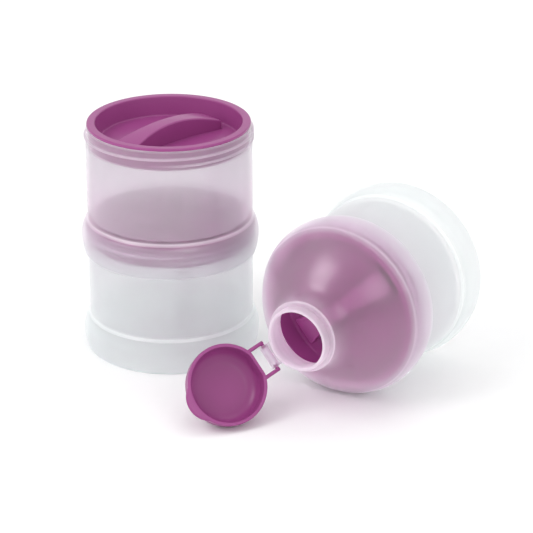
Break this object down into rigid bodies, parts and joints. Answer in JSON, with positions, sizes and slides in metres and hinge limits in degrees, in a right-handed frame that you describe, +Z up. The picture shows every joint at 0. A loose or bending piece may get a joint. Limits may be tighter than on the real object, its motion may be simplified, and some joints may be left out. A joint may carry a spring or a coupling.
{
  "type": "formula dispenser",
  "caption": "Stackable formula dispenser: round frosted containers with screw necks and plug-in lids, and a pouring dome with a hinged snap cap over its spout.",
  "frame": {"origin": "centre of the stack's base ring, on the table", "axes": "+Z up along the stack's axis, -Y the way the lying unit's spout points, +X from the stack towards the lying unit"},
  "size_m": [0.165, 0.1201, 0.1013],
  "materials": {
    "frosted": "frosted translucent polypropylene",
    "magenta": "satin moulded polypropylene"
  },
  "bodies": {
    "stack_base": {"container_lower": "frosted"},
    "stack_inner_lid": {"lid_lower": "magenta"},
    "stack_top": {"container_upper": "frosted"},
    "stack_top_lid": {"lid_upper": "magenta"},
    "lying_container": {"container_pouring": "frosted"},
    "lying_inner_lid": {"lid_pouring": "magenta"},
    "dome": {"pouring_dome": "frosted"},
    "cap": {"spout_cap": "magenta"}
  },
  "joints": [
    {"name": "stack_unscrew", "type": "hinge", "parent": "stack_base", "child": "stack_inner_lid", "pos_m": [0, 0, 0.0457], "axis": [0, 0, 1], "range_deg": [0, 720]},
    {"name": "stack_rise", "type": "slide", "parent": "stack_inner_lid", "child": "stack_top", "axis": [0, 0, 1], "range_m": [0, 0.0061]},
    {"name": "top_lid_pull", "type": "slide", "parent": "stack_top", "child": "stack_top_lid", "axis": [0, 0, 1], "range_m": [0, 0.025]},
    {"name": "unit_shift", "type": "slide", "parent": "stack_base", "child": "lying_container", "axis": [1, 0, 0], "range_m": [0, 0.05]},
    {"name": "dome_unscrew", "type": "hinge", "parent": "lying_container", "child": "lying_inner_lid", "pos_m": [0.089, 0, 0.038], "axis": [0, -1, 0], "range_deg": [0, 720]},
    {"name": "dome_rise", "type": "slide", "parent": "lying_inner_lid", "child": "dome", "axis": [0, -1, 0], "range_m": [0, 0.0061]},
    {"name": "cap_hinge", "type": "hinge", "parent": "dome", "child": "cap", "pos_m": [0.07215, -0.037, 0.02386], "axis": [0.6428, 0, -0.766], "range_deg": [-120, 0]}
  ],
  "couplings": [
    {"joint": "stack_rise", "follows": "stack_unscrew", "m_per_rad": 0.00047746},
    {"joint": "dome_rise", "follows": "dome_unscrew", "m_per_rad": 0.00047746}
  ]
}
